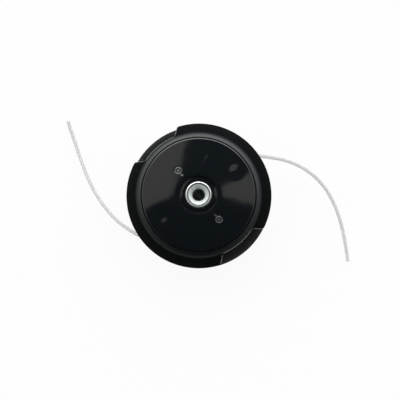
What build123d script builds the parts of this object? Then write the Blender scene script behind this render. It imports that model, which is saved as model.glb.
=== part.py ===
from build123d import *
import os
from math import cos, pi, radians, sin, tan

os.makedirs("parts", exist_ok=True)

# Tap-to-feed string trimmer head, in millimetres.
# The bump knob stands on z = 0, the shaft axis is Z, and the two lines leave to +X and -X.

# Clearances
seat_gap = 0.05  # pieces fixed in one another
running_gap = 0.05  # the sleeve on its journal
free_gap = 0.3  # washers round the journal
stop_gap = 0.1  # faces that meet at the end of a stroke
hub_room = 0.4  # the tapped spool under the cover's hub

# Heights of the running parts, from the ground up
tap_travel = 5.0
knob_reach = 10.0
floor_wall = 2.5
knob_flange_wall = 2.4
spool_flange_wall = 1.8
chamber_height = 7.4
divider_wall = 1.2
lower_lug_bite = 1.8
lower_lug_room = 0.4
upper_lug_height = 2.4
upper_lug_bite = 2.0
upper_lug_room = 0.9

# Drive bush
thread_bore_radius = 4.46
thread_depth = 24.0
drill_point_half_angle = 59.0
bush_radius = 9.4
bush_rim_width = 1.4
bush_ring_width = 0.6
bush_ring_depth = 0.7
bush_edge = 0.4
countersink_drop = 0.25
journal_radius = 7.0
journal_tail = 0.5
journal_chamfer = 0.5
bush_hex_flats = 20.0
bush_hex_height = 2.8

# Top cover
roof_wall = 2.6
dome_rise = 1.7
dome_crown = 0.12
dome_overhang = 2.5
dome_edge_radius = 0.9
groove_width = 0.6
groove_depth = 1.7
land_radius = 16.0
recess_radius = 13.3
recess_depth = 1.7
recess_slope = 0.5
hub_radius = 13.9
shoulder_lip = 0.5
shoulder_width = 4.5
shoulder_drop = 2.9
shoulder_crown = 0.45
skirt_radius = 52.0
skirt_spread = 5.8
skirt_depth = 15.0
skirt_wall = 2.2
skirt_crown = 0.3
skirt_rim = 1.0
ring_wall = 1.9
ring_depth = 10.4
gusset_count = 16
gusset_wall = 1.6
gusset_depth = 5.0

# Finger notches in the skirt
notch_angle = 130.0
notch_depth = 6.5
notch_span = 35.6
notch_flare = 49.0
notch_corner = 1.5
notch_lining_wall = 1.6
notch_lining_depth = 8.0
latch_span = 18.0
latch_height = 1.7
latch_rise = 2.0

# Bottom cover
drum_wall = 2.4
spigot_wall = 2.1
spigot_gap = 0.2
spigot_height = 5.6
drum_edge_radius = 3.0
drum_step = 1.4
knob_hole_gap = 0.7
hole_bead_width = 1.6
hole_bead_height = 0.6
floor_rib_count = 12
floor_rib_wall = 1.4
floor_rib_height = 0.7
floor_rib_inset = 2.0

# Press tabs of the bottom cover
tab_proud = 0.1
tab_span = 50.0
tab_neck_span = 30.0
tab_wall = 2.4
tab_floor_wall = 2.4
tab_floor_rise = 5.0
tab_neck_wall = 1.3
tab_neck_gap = 0.3
tab_top_room = 1.2
barb_reach = 1.0
barb_height = 1.3
tab_rib_count = 25
tab_rib_edge_angle = 2.2
tab_rib_wall = 0.8
tab_rib_height = 0.55

# Drive lugs
lug_count = 4
lower_lug_span = 24.0
lower_lug_width = 4.6
lower_lug_inset = 0.8
upper_lug_span = 12.0
upper_lug_width = 5.0
upper_lug_inset = 6.0
lug_play = 40.0
cover_lug_angle = 20.0

# Spool
spool_hub_radius = 17.0
spool_cup_radius = 13.4
spool_web_wall = 3.0
spool_running_gap = 1.0
line_slot_width = 3.0
line_slot_depth = 5.0
sleeve_wall = 1.25
sleeve_flange_radius = 12.6
sleeve_flange_wall = 0.8
sleeve_tail = 1.8

# Spring
spring_wire = 1.5
spring_radius = 9.9
spring_turns = 5.5
washer_wall = 0.8
washer_radius = 12.6

# Bump knob
knob_flange_gap = 1.0
knob_flange_reach = 3.5
knob_wall = 2.4
knob_floor_wall = 3.0
knob_edge_radius = 3.6
knob_flute_count = 12
knob_flute_radius = 3.0
knob_flute_depth = 1.1
knob_spigot_wall = 2.2
knob_spigot_gap = 0.2
knob_spigot_height = 1.8
knob_rib_count = 6
knob_rib_wall = 1.8
knob_rib_height = 6.0
knob_dimple_radius = 12.0
knob_dimple_depth = 0.8

# Line and eyelets
line_diameter = 2.4
line_depth = 4.0
bend_share = 0.45
eyelet_angle = 40.0
eyelet_height = 22.0
eyelet_bore_gap = 0.3
eyelet_wall = 1.0
eyelet_flange_radius = 4.3
eyelet_flange_wall = 1.0
eyelet_mouth_flare = 1.4
eyelet_mouth_depth = 1.8
eyelet_tail = 0.9
eyelet_lip_radius = 3.3
eyelet_lip_gap = 0.2
eyelet_boss_radius = 5.2
eyelet_boss_height = 0.8

# Heights that follow from those above
floor_z = knob_reach
floor_top_z = floor_z + floor_wall
knob_flange_z = floor_top_z + stop_gap
spool_z = knob_flange_z + knob_flange_wall
lower_chamber_z = spool_z + spool_flange_wall
divider_z = lower_chamber_z + chamber_height
upper_chamber_z = divider_z + divider_wall
upper_flange_z = upper_chamber_z + chamber_height
spool_top_z = upper_flange_z + spool_flange_wall
ceiling_z = spool_top_z + upper_lug_height + tap_travel + upper_lug_room
dome_edge_z = ceiling_z + roof_wall
land_z = dome_edge_z + dome_rise
hub_face_z = spool_top_z + tap_travel + hub_room
skirt_edge_z = dome_edge_z - skirt_depth
ring_bottom_z = ceiling_z - ring_depth
bush_top_z = land_z - bush_edge
web_z = spool_z + sleeve_tail
web_top_z = web_z + spool_web_wall
lower_washer_z = web_top_z + sleeve_flange_wall
spring_bottom_z = lower_washer_z + washer_wall
upper_washer_z = hub_face_z - stop_gap - washer_wall

# Radii that follow from those above
shoulder_radius = skirt_radius - skirt_spread
groove_outer = shoulder_radius - shoulder_width
dome_radius = groove_outer - groove_width
notch_radius = skirt_radius - notch_depth
tab_radius = skirt_radius + tab_proud
drum_radius = dome_radius - dome_overhang
drum_inner = drum_radius - drum_wall
ring_inner = drum_radius - ring_wall
spigot_outer = ring_inner - spigot_gap
spigot_inner = spigot_outer - spigot_wall
spool_radius = spigot_inner - spool_running_gap
lower_lug_outer = spool_radius - lower_lug_inset
lower_lug_inner = lower_lug_outer - lower_lug_width
upper_lug_outer = spool_radius - upper_lug_inset
knob_flange_radius = lower_lug_inner - knob_flange_gap
knob_radius = knob_flange_radius - knob_flange_reach
knob_hole_radius = knob_radius + knob_hole_gap
line_radius = line_diameter / 2
layer_count = int((spool_radius - spool_hub_radius - line_depth) / line_diameter)
winding_radius = spool_hub_radius + layer_count * line_diameter
eyelet_bore = line_radius + eyelet_bore_gap
eyelet_shank = eyelet_bore + eyelet_wall
eyelet_seat = drum_radius + eyelet_boss_height
eyelet_mouth = eyelet_seat + eyelet_flange_wall
shoulder_top_z = dome_edge_z - groove_depth + shoulder_lip
shoulder_z = shoulder_top_z - shoulder_drop
notch_angles = (notch_angle, notch_angle + 180)
eyelet_angles = {"right": eyelet_angle, "left": eyelet_angle + 180}


def polar(radius, angle):
    """The point at this radius and angle in a plane."""
    return (radius * cos(radians(angle)), radius * sin(radians(angle)))


def upright(angle):
    """The plane through the shaft axis at this angle, with local x outwards and local y up."""
    return Plane(
        origin=(0, 0, 0),
        x_dir=(cos(radians(angle)), sin(radians(angle)), 0),
        z_dir=(sin(radians(angle)), -cos(radians(angle)), 0),
    )


def facing(angle, radius, height):
    """The plane that faces outwards at this angle, radius and height."""
    return Plane(
        origin=(*polar(radius, angle), height),
        x_dir=(-sin(radians(angle)), cos(radians(angle)), 0),
        z_dir=(cos(radians(angle)), sin(radians(angle)), 0),
    )


def ring_sector(inner, outer, span):
    """A flat piece of a ring, symmetric about the local X axis."""
    with BuildSketch() as sector:
        with BuildLine():
            CenterArc((0, 0), outer, -span / 2, span)
            CenterArc((0, 0), inner, -span / 2, span)
            Line(polar(inner, -span / 2), polar(outer, -span / 2))
            Line(polar(inner, span / 2), polar(outer, span / 2))
        make_face()
    return sector.sketch


# Lugs: the cap's lugs stand in the gaps of the spool's at rest, with all the play on one side,
# and the spool's upper lugs enter the gaps of the cover's when the knob is tapped.
lug_pitch = 360 / lug_count
lower_lug = ring_sector(lower_lug_inner, lower_lug_outer, lower_lug_span)
upper_lug = ring_sector(upper_lug_outer - upper_lug_width, upper_lug_outer, upper_lug_span)
spool_lug_angle = lower_lug_span + (lug_pitch - 2 * lower_lug_span + lug_play) / 2
spool_lower_lug_z = floor_top_z + lower_lug_room
cap_lug_height = lower_lug_room + lower_lug_bite
cover_lug_z = spool_top_z + upper_lug_height + tap_travel - upper_lug_bite

# Drive bush: turned and plated, with a hexagon that the cover grips
with BuildPart() as drive_bush:
    with BuildSketch(Plane.XZ):
        journal_bottom_z = spool_z - journal_tail
        rim_inner = bush_radius - bush_rim_width
        ring_inner_radius = rim_inner - bush_ring_width
        cone_top_z = bush_top_z - countersink_drop
        cone_bottom_z = cone_top_z - (ring_inner_radius - thread_bore_radius)
        bore_bottom_z = bush_top_z - thread_depth
        bore_tip_z = bore_bottom_z - thread_bore_radius / tan(radians(drill_point_half_angle))
        with BuildLine():
            Polyline(
                (0, journal_bottom_z),
                (journal_radius - journal_chamfer, journal_bottom_z),
                (journal_radius, journal_bottom_z + journal_chamfer),
                (journal_radius, hub_face_z),
                (bush_radius, hub_face_z),
                (bush_radius, bush_top_z - bush_edge),
                (bush_radius - bush_edge, bush_top_z),
                (rim_inner, bush_top_z),
                (rim_inner, bush_top_z - bush_ring_depth),
                (ring_inner_radius, bush_top_z - bush_ring_depth),
                (ring_inner_radius, cone_top_z),
                (thread_bore_radius, cone_bottom_z),
                (thread_bore_radius, bore_bottom_z),
                (0, bore_tip_z),
                close=True,
            )
        make_face()
    revolve(axis=Axis.Z)
    with BuildSketch(Plane.XY.offset(hub_face_z)):
        RegularPolygon(bush_hex_flats / 2, 6, major_radius=False)
        Circle(journal_radius, mode=Mode.SUBTRACT)
    extrude(amount=bush_hex_height)
drive_bush.part.label = "drive_bush"
export_step(drive_bush.part, "parts/drive_bush.step")

# Top cover: one moulding with dome, groove, shoulder and overhanging skirt
with BuildSketch() as cover_outline:
    Circle(skirt_radius)
    for angle in notch_angles:
        with BuildSketch(mode=Mode.PRIVATE) as notch:
            with BuildLine():
                corner_a = polar(notch_radius, angle - notch_span / 2)
                corner_b = polar(notch_radius, angle + notch_span / 2)
                CenterArc((0, 0), notch_radius, angle - notch_span / 2, notch_span)
                side_a = PolarLine(corner_a, skirt_radius / 2, angle - notch_flare)
                side_b = PolarLine(corner_b, skirt_radius / 2, angle + notch_flare)
                Line(side_a @ 1, side_b @ 1)
            make_face()
        add(notch.sketch, mode=Mode.SUBTRACT)
    fillet(cover_outline.vertices(), notch_corner)

# Gussets stand all round under the skirt, except behind the press tabs
gusset_angles = [
    i * 360 / gusset_count
    for i in range(gusset_count)
    if abs((i * 360 / gusset_count - notch_angle + 90) % 180 - 90) > tab_span / 2
]
skirt_inner_top = (shoulder_radius - skirt_wall, shoulder_z - skirt_wall)
groove_z = dome_edge_z - groove_depth
with BuildPart() as gusset:
    with BuildSketch(Plane.XZ):
        Polygon(
            (drum_radius - ring_wall / 2, groove_z - roof_wall / 2),
            (groove_outer, groove_z - roof_wall / 2),
            (skirt_inner_top[0] + skirt_wall / 2, skirt_inner_top[1]),
            (skirt_radius - skirt_wall / 2, skirt_edge_z + skirt_rim + skirt_wall),
            (skirt_radius - skirt_wall - gusset_wall, skirt_edge_z + skirt_rim + skirt_wall),
            (drum_radius - ring_wall / 2, groove_z - roof_wall - gusset_depth),
            align=None,
        )
    extrude(amount=gusset_wall / 2, both=True)

# The notches are lined, and each lining has a window for a latch
lining_inner = notch_radius - notch_lining_wall
lining = ring_sector(lining_inner, notch_radius, notch_span)
lining_top_z = shoulder_z - skirt_wall / 2
lining_bottom_z = shoulder_z - notch_lining_depth
latch = ring_sector(lining_inner - notch_lining_wall, notch_radius + notch_lining_wall, latch_span)
latch_z = lining_bottom_z + latch_rise

with BuildPart() as top_cover:
    hub_bore = bush_radius + seat_gap
    with BuildSketch(Plane.XZ):
        recess_z = land_z - recess_depth
        rim_radius = skirt_radius + skirt_rim / 2
        rim_z = skirt_edge_z + skirt_rim
        with BuildLine():
            Polyline(
                (hub_bore, hub_face_z),
                (hub_bore, recess_z),
                (recess_radius, recess_z - recess_slope),
                (recess_radius, land_z),
                (land_radius, land_z),
            )
            dome = SagittaArc(
                (land_radius, land_z), (dome_radius - dome_edge_radius, dome_edge_z), dome_crown
            )
            RadiusArc(dome @ 1, (dome_radius, dome_edge_z - dome_edge_radius), dome_edge_radius)
            Polyline(
                (dome_radius, dome_edge_z - dome_edge_radius),
                (dome_radius, groove_z),
                (groove_outer, groove_z),
                (groove_outer, shoulder_top_z),
            )
            SagittaArc((groove_outer, shoulder_top_z), (shoulder_radius, shoulder_z), shoulder_crown)
            SagittaArc((shoulder_radius, shoulder_z), (rim_radius, rim_z), skirt_crown)
            Polyline(
                (rim_radius, rim_z),
                (rim_radius, skirt_edge_z),
                (skirt_radius - skirt_wall, skirt_edge_z),
                skirt_inner_top,
                (groove_outer, groove_z - roof_wall),
                (drum_radius, groove_z - roof_wall),
                (drum_radius, ring_bottom_z),
                (ring_inner, ring_bottom_z),
                (ring_inner, ceiling_z),
                (hub_radius, ceiling_z + dome_rise),
                (hub_radius, hub_face_z),
                (hub_bore, hub_face_z),
            )
        make_face()
    revolve(axis=Axis.Z)
    # Gussets under the skirt
    with Locations(*[Location((0, 0, 0), (0, 0, angle)) for angle in gusset_angles]):
        add(gusset.part)
    with BuildSketch(Plane.XY.offset(lining_bottom_z)):
        with PolarLocations(0, 2, start_angle=notch_angle):
            add(lining)
    extrude(amount=lining_top_z - lining_bottom_z)
    # Lugs that stop the spool while the knob is tapped
    with BuildSketch(Plane.XY.offset(cover_lug_z)):
        with PolarLocations(0, lug_count, start_angle=cover_lug_angle):
            add(upper_lug)
    extrude(amount=ceiling_z + dome_rise - cover_lug_z)
    with BuildSketch(Plane.XY.offset(hub_face_z)):
        RegularPolygon(bush_hex_flats / 2 + seat_gap, 6, major_radius=False)
    extrude(amount=bush_hex_height + seat_gap, mode=Mode.SUBTRACT)
    with BuildSketch(Plane.XY.offset(skirt_edge_z - notch_lining_depth)):
        add(cover_outline.sketch)
    extrude(amount=land_z, mode=Mode.INTERSECT)
    with BuildSketch(Plane.XY.offset(latch_z)):
        with PolarLocations(0, 2, start_angle=notch_angle):
            add(latch)
    extrude(amount=latch_height, mode=Mode.SUBTRACT)
top_cover.part.label = "top_cover"
export_step(top_cover.part, "parts/top_cover.step")

# One grip rib of a press tab, which runs up its flank
tab_rib_span = tab_span - 2 * tab_rib_edge_angle
shelf_z = floor_z + tab_floor_rise
shelf_top_z = shelf_z + tab_floor_wall
neck_outer = lining_inner - tab_neck_gap
neck_inner = neck_outer - tab_neck_wall
neck_z = lining_bottom_z
neck_top_z = shoulder_z - skirt_wall - tab_top_room
with BuildPart() as tab_rib:
    with BuildSketch(Plane.XZ):
        Polygon(
            (tab_radius - tab_wall / 2, shelf_z + tab_rib_height),
            (tab_radius, shelf_z + tab_rib_height),
            (tab_radius, shelf_z + 2 * tab_rib_height),
            (neck_outer + tab_rib_height, neck_z - tab_rib_height),
            (neck_outer - tab_neck_wall / 2, neck_z - tab_rib_height),
            align=None,
        )
    extrude(amount=tab_rib_wall / 2, both=True)

# Bottom cover: drum, floor and two sprung press tabs in one moulding
with BuildPart() as bottom_cover:
    with BuildSketch(Plane.XZ):
        step_z = ring_bottom_z - stop_gap
        with BuildLine():
            Polyline(
                (drum_radius, floor_z + drum_edge_radius),
                (drum_radius, step_z),
                (spigot_outer, step_z),
                (spigot_outer, step_z + spigot_height),
                (spigot_inner, step_z + spigot_height),
                (spigot_inner, step_z - drum_step),
                (drum_inner, step_z - drum_step - (drum_inner - spigot_inner)),
                (drum_inner, floor_top_z),
                (knob_hole_radius, floor_top_z),
                (knob_hole_radius, floor_z - hole_bead_height),
                (knob_hole_radius + hole_bead_width, floor_z - hole_bead_height),
                (knob_hole_radius + hole_bead_width + hole_bead_height, floor_z),
                (drum_radius - drum_edge_radius, floor_z),
            )
            RadiusArc(
                (drum_radius - drum_edge_radius, floor_z),
                (drum_radius, floor_z + drum_edge_radius),
                -drum_edge_radius,
            )
        make_face()
    revolve(axis=Axis.Z)
    # Ribs on the underside
    rib_inner = knob_hole_radius + hole_bead_width
    rib_outer = drum_radius - drum_edge_radius - floor_rib_inset
    with BuildSketch(Plane.XY.offset(floor_z - floor_rib_height)):
        with PolarLocations((rib_inner + rib_outer) / 2, floor_rib_count):
            SlotOverall(rib_outer - rib_inner, floor_rib_wall)
    extrude(amount=floor_rib_height + floor_wall / 2)
    # Lugs that hold the spool at rest
    with BuildSketch(Plane.XY.offset(floor_top_z)):
        with PolarLocations(0, lug_count):
            add(lower_lug)
    extrude(amount=cap_lug_height)
    # Press tabs: a shelf, a ribbed flank that leans inwards, and a neck with the latch barb
    for angle in notch_angles:
        with BuildSketch(upright(angle - tab_span / 2)):
            Polygon(
                (drum_radius - drum_wall / 2, shelf_z),
                (tab_radius, shelf_z),
                (neck_outer, neck_z),
                (neck_inner, neck_z),
                (tab_radius - tab_wall, shelf_top_z),
                (drum_radius - drum_wall / 2, shelf_top_z),
                align=None,
            )
        revolve(axis=Axis.Z, revolution_arc=tab_span)
        with BuildSketch(upright(angle - tab_neck_span / 2)):
            Polygon(
                (neck_inner, neck_z),
                (neck_outer, neck_z),
                (neck_outer, neck_top_z),
                (neck_inner, neck_top_z),
                align=None,
            )
        revolve(axis=Axis.Z, revolution_arc=tab_neck_span)
        barb_span = latch_span - 2 * tab_neck_gap
        barb_z = latch_z + (latch_height - barb_height) / 2
        with BuildSketch(upright(angle - barb_span / 2)):
            Polygon(
                (neck_outer - tab_neck_wall / 2, barb_z),
                (neck_outer + barb_reach, barb_z),
                (neck_outer + barb_reach / 2, barb_z + barb_height),
                (neck_outer - tab_neck_wall / 2, barb_z + barb_height),
                align=None,
            )
        revolve(axis=Axis.Z, revolution_arc=barb_span)
        first_rib = angle - tab_rib_span / 2
        with PolarLocations(0, tab_rib_count, first_rib, tab_rib_span, endpoint=True):
            add(tab_rib.part)
    # Bosses and holes for the eyelets
    for angle in eyelet_angles.values():
        with BuildSketch(facing(angle, drum_radius - drum_wall / 2, eyelet_height)):
            Circle(eyelet_boss_radius)
        extrude(amount=drum_wall / 2 + eyelet_boss_height)
        with BuildSketch(facing(angle, drum_inner - drum_wall, eyelet_height)):
            Circle(eyelet_shank + seat_gap)
        extrude(amount=3 * drum_wall, mode=Mode.SUBTRACT)
bottom_cover.part.label = "bottom_cover"
export_step(bottom_cover.part, "parts/bottom_cover.step")

# Line eyelets: plated grommets with a flared mouth, rolled over inside the drum
for side, angle in eyelet_angles.items():
    with BuildPart() as line_eyelet:
        with BuildSketch(upright(angle)):
            eyelet_inner_end = drum_inner - eyelet_tail
            with BuildLine():
                Polyline(
                    (eyelet_inner_end, eyelet_height + eyelet_bore),
                    (eyelet_inner_end, eyelet_height + eyelet_lip_radius),
                    (drum_inner - eyelet_lip_gap, eyelet_height + eyelet_lip_radius),
                    (drum_inner - eyelet_lip_gap, eyelet_height + eyelet_shank),
                    (eyelet_seat, eyelet_height + eyelet_shank),
                    (eyelet_seat, eyelet_height + eyelet_flange_radius),
                    (eyelet_mouth - eyelet_flange_wall / 2, eyelet_height + eyelet_flange_radius),
                    (eyelet_mouth, eyelet_height + eyelet_flange_radius - eyelet_flange_wall / 2),
                    (eyelet_mouth, eyelet_height + eyelet_bore + eyelet_mouth_flare),
                )
                SagittaArc(
                    (eyelet_mouth, eyelet_height + eyelet_bore + eyelet_mouth_flare),
                    (eyelet_mouth - eyelet_mouth_depth, eyelet_height + eyelet_bore),
                    eyelet_mouth_flare / 4,
                )
                Line(
                    (eyelet_mouth - eyelet_mouth_depth, eyelet_height + eyelet_bore),
                    (eyelet_inner_end, eyelet_height + eyelet_bore),
                )
            make_face()
        revolve(axis=Axis((0, 0, eyelet_height), (*polar(1, angle), 0)))
    line_eyelet.part.label = "line_eyelet_" + side
    export_step(line_eyelet.part, "parts/line_eyelet_" + side + ".step")

# Spool: two chambers round a hub, with a cup for the spring and lugs on both faces
with BuildPart() as spool:
    sleeve_outer = journal_radius + running_gap + sleeve_wall
    with BuildSketch(Plane.XZ):
        with BuildLine():
            Polyline(
                (sleeve_outer + seat_gap, web_z),
                (spool_cup_radius, web_z),
                (spool_cup_radius, spool_z),
                (spool_radius, spool_z),
                (spool_radius, lower_chamber_z),
                (spool_hub_radius, lower_chamber_z),
                (spool_hub_radius, divider_z),
                (spool_radius, divider_z),
                (spool_radius, upper_chamber_z),
                (spool_hub_radius, upper_chamber_z),
                (spool_hub_radius, upper_flange_z),
                (spool_radius, upper_flange_z),
                (spool_radius, spool_top_z),
                (spool_cup_radius, spool_top_z),
                (spool_cup_radius, web_top_z),
                (sleeve_outer + seat_gap, web_top_z),
                close=True,
            )
        make_face()
    revolve(axis=Axis.Z)
    with BuildSketch(Plane.XY.offset(spool_lower_lug_z)):
        with PolarLocations(0, lug_count, start_angle=spool_lug_angle):
            add(lower_lug)
    extrude(amount=spool_z - spool_lower_lug_z)
    upper_lug_angle = cover_lug_angle + (lug_pitch + lug_play) / 2
    with BuildSketch(Plane.XY.offset(spool_top_z)):
        with PolarLocations(0, lug_count, start_angle=upper_lug_angle):
            add(upper_lug)
    extrude(amount=upper_lug_height)
    # Slots that park the line while it is wound
    for angle in eyelet_angles.values():
        with BuildSketch(Plane.XY.offset(divider_z)):
            with PolarLocations(spool_radius, 1, start_angle=angle):
                SlotOverall(2 * line_slot_depth, line_slot_width)
        extrude(amount=spool_top_z - divider_z, mode=Mode.SUBTRACT)
spool.part.label = "spool"
export_step(spool.part, "parts/spool.step")

# Spool sleeve: a flanged bush pressed into the spool's web
with BuildPart() as spool_sleeve:
    with BuildSketch(Plane.XZ):
        with BuildLine():
            Polyline(
                (journal_radius + running_gap, spool_z),
                (sleeve_outer, spool_z),
                (sleeve_outer, web_top_z),
                (sleeve_flange_radius, web_top_z),
                (sleeve_flange_radius, lower_washer_z),
                (journal_radius + running_gap, lower_washer_z),
                close=True,
            )
        make_face()
    revolve(axis=Axis.Z)
spool_sleeve.part.label = "spool_sleeve"
export_step(spool_sleeve.part, "parts/spool_sleeve.step")

# Spring washers: stamped rings at the two ends of the spring
washer_heights = {"lower_spring_washer": lower_washer_z, "upper_spring_washer": upper_washer_z}
for name, washer_z in washer_heights.items():
    with BuildPart() as spring_washer:
        with BuildSketch(Plane.XY.offset(washer_z)):
            Circle(washer_radius)
            Circle(journal_radius + free_gap, mode=Mode.SUBTRACT)
        extrude(amount=washer_wall)
    spring_washer.part.label = name
    export_step(spring_washer.part, "parts/" + name + ".step")

# Spring: round wire, held between the washers
with BuildPart() as spring:
    spring_start_z = spring_bottom_z + spring_wire / 2 + stop_gap
    spring_height = upper_washer_z - stop_gap - spring_wire / 2 - spring_start_z
    spring_pitch = spring_height / spring_turns
    with BuildLine():
        coil = Helix(spring_pitch, spring_height, spring_radius, center=(0, 0, spring_start_z))
    with BuildSketch(Plane(origin=coil @ 0, z_dir=coil % 0)):
        Circle(spring_wire / 2)
    sweep(path=coil, is_frenet=True)
spring.part.label = "spring"
export_step(spring.part, "parts/spring.step")

# Line windings: the outer turns of each chamber show as rounded ridges
turn_count = int(chamber_height // line_diameter)
winding_height = turn_count * line_diameter
chamber_heights = {"lower_line_winding": lower_chamber_z, "upper_line_winding": upper_chamber_z}
for name, chamber_z in chamber_heights.items():
    winding_z = chamber_z + (chamber_height - winding_height) / 2
    with BuildPart() as line_winding:
        with BuildSketch(Plane.XZ):
            with BuildLine():
                Polyline(
                    (winding_radius - line_radius, winding_z),
                    (spool_hub_radius + seat_gap, winding_z),
                    (spool_hub_radius + seat_gap, winding_z + winding_height),
                    (winding_radius - line_radius, winding_z + winding_height),
                )
                for i in range(turn_count):
                    turn_z = winding_z + i * line_diameter + line_radius
                    CenterArc((winding_radius - line_radius, turn_z), line_radius, -90, 180)
            make_face()
        revolve(axis=Axis.Z)
    line_winding.part.label = name
    export_step(line_winding.part, "parts/" + name + ".step")

# Bump knob: a fluted cup on the spool's underside, with a flange that the bottom cover retains
with BuildPart() as bump_knob:
    spigot_outer_radius = spool_cup_radius - knob_spigot_gap
    spigot_inner_radius = spigot_outer_radius - knob_spigot_wall
    spigot_top_z = spool_z + knob_spigot_height - stop_gap
    knob_inner = knob_radius - knob_wall
    with BuildSketch(Plane.XZ):
        with BuildLine():
            Polyline(
                (0, knob_dimple_depth),
                (knob_dimple_radius - knob_dimple_depth, knob_dimple_depth),
                (knob_dimple_radius, 0),
                (knob_radius - knob_edge_radius, 0),
            )
            RadiusArc(
                (knob_radius - knob_edge_radius, 0),
                (knob_radius, knob_edge_radius),
                -knob_edge_radius,
            )
            Polyline(
                (knob_radius, knob_edge_radius),
                (knob_radius, knob_flange_z),
                (knob_flange_radius, knob_flange_z),
                (knob_flange_radius, spool_z),
                (knob_inner, spool_z),
                (knob_inner, knob_floor_wall),
                (spigot_outer_radius, knob_floor_wall),
                (spigot_outer_radius, spigot_top_z),
                (spigot_inner_radius, spigot_top_z),
                (spigot_inner_radius, knob_floor_wall),
                (0, knob_floor_wall),
                (0, knob_dimple_depth),
            )
        make_face()
    revolve(axis=Axis.Z)
    with BuildSketch(Plane.XY.offset(knob_floor_wall / 2)):
        with PolarLocations((knob_inner + spigot_outer_radius) / 2, knob_rib_count):
            Rectangle(knob_inner - spigot_outer_radius + knob_wall, knob_rib_wall)
    extrude(amount=knob_rib_height)
    with BuildSketch(Plane.XY):
        with PolarLocations(knob_radius + knob_flute_radius - knob_flute_depth, knob_flute_count):
            Circle(knob_flute_radius)
    extrude(amount=knob_flange_z, mode=Mode.SUBTRACT)
bump_knob.part.label = "bump_knob"
export_step(bump_knob.part, "parts/bump_knob.step")

# Line tails: from inside the eyelet, round under the skirt, out and down to the ground
ground = line_radius + seat_gap
tail_routes = {
    "right": [
        (28.7, 24.0, 22.0),
        (33.2, 27.9, 22.0),
        (40.3, 30.2, 21.6),
        (50.8, 29.4, 19.6),
        (62.8, 28.1, 15.9),
        (75.4, 23.7, 12.4),
        (86.6, 16.1, 9.2),
        (95.2, 5.8, 6.5),
        (101.5, -6.0, 4.2),
        (105.6, -18.6, 2.5),
        (107.7, -28.0, 1.5),
        (109.3, -38.5, ground),
        (110.3, -46.7, ground),
    ],
    "left": [
        (-28.8, -24.2, 22.0),
        (-32.85, -27.57, 22.0),
        (-38.0, -29.2, 21.8),
        (-43.4, -28.6, 21.2),
        (-51.0, -24.7, 19.2),
        (-61.2, -17.8, 15.2),
        (-70.6, -7.7, 11.3),
        (-78.2, 3.8, 8.0),
        (-84.5, 16.3, 5.2),
        (-89.5, 29.5, 3.0),
        (-94.1, 42.6, 1.5),
        (-97.6, 53.0, ground),
        (-99.8, 59.6, ground),
    ],
}
for side, route in tail_routes.items():
    points = [Vector(*point) for point in route]
    runs = [b - a for a, b in zip(points, points[1:])]
    bend_radii = [
        bend_share * min(a.length, b.length) / tan(radians(a.get_angle(b)) / 2)
        for a, b in zip(runs, runs[1:])
    ]
    with BuildPart() as line_tail:
        with BuildLine():
            tail_path = FilletPolyline(*points, radius=bend_radii)
        with BuildSketch(Plane(origin=tail_path @ 0, z_dir=tail_path % 0)):
            Circle(line_radius)
        sweep(path=tail_path)
    line_tail.part.label = "line_tail_" + side
    export_step(line_tail.part, "parts/line_tail_" + side + ".step")
    print(side, "runs", [round(run.length, 1) for run in runs])
    print(side, "bend radii", [round(radius, 1) for radius in bend_radii])
    tube_volume = pi * line_radius**2 * tail_path.length
    print(side, "length", tail_path.length, "volume share", line_tail.part.volume / tube_volume)
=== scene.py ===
import bmesh
import bpy
import numpy as np
from mathutils import Matrix, Vector


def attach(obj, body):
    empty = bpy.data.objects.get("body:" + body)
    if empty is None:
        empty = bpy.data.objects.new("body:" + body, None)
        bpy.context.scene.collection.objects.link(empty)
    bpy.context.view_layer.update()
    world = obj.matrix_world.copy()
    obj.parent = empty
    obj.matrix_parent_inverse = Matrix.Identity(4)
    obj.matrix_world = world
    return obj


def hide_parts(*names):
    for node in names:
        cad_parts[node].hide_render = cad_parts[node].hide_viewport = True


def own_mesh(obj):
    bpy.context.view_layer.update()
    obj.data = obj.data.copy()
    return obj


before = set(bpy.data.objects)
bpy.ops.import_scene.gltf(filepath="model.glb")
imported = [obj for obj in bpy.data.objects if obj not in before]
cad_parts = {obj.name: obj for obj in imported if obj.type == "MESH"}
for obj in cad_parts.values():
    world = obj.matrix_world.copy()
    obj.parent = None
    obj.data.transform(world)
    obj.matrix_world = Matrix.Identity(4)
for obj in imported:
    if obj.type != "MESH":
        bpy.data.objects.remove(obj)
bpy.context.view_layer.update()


# Drive bush: a turned steel insert, zinc plated, with a countersunk left-hand thread for the gearbox.
# Its hexagon is moulded into the cover, and the spool runs on the plain journal below.
MM = 0.001
WELD = 0.002 * MM


class Wire:
    """A shader socket. Arithmetic on it adds Math nodes, and node() adds any other node."""

    def __init__(self, tree, socket=None):
        self.tree = tree
        self.socket = socket

    def node(self, kind, settings=None, inputs=None, out=0):
        """Adds a node: its settings come first, then the values or links of its sockets."""
        made = self.tree.nodes.new("ShaderNode" + kind)
        for key, value in (settings or {}).items():
            setattr(made, key, value)
        for key, value in (inputs or {}).items():
            if isinstance(value, Wire):
                self.tree.links.new(value.socket, made.inputs[key])
            else:
                made.inputs[key].default_value = value
        return Wire(self.tree, made.outputs[out])

    def math(self, operation, other=0.0, turned=False):
        """Adds a Math node on this socket and another value, which comes first if turned."""
        pair = {0: other, 1: self} if turned else {0: self, 1: other}
        return self.node("Math", {"operation": operation}, pair)

    def __add__(self, other):
        return self.math("ADD", other)

    def __sub__(self, other):
        return self.math("SUBTRACT", other)

    def __rsub__(self, other):
        return self.math("SUBTRACT", other, turned=True)

    def __mul__(self, other):
        return self.math("MULTIPLY", other)

    __radd__ = __add__
    __rmul__ = __mul__


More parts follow.
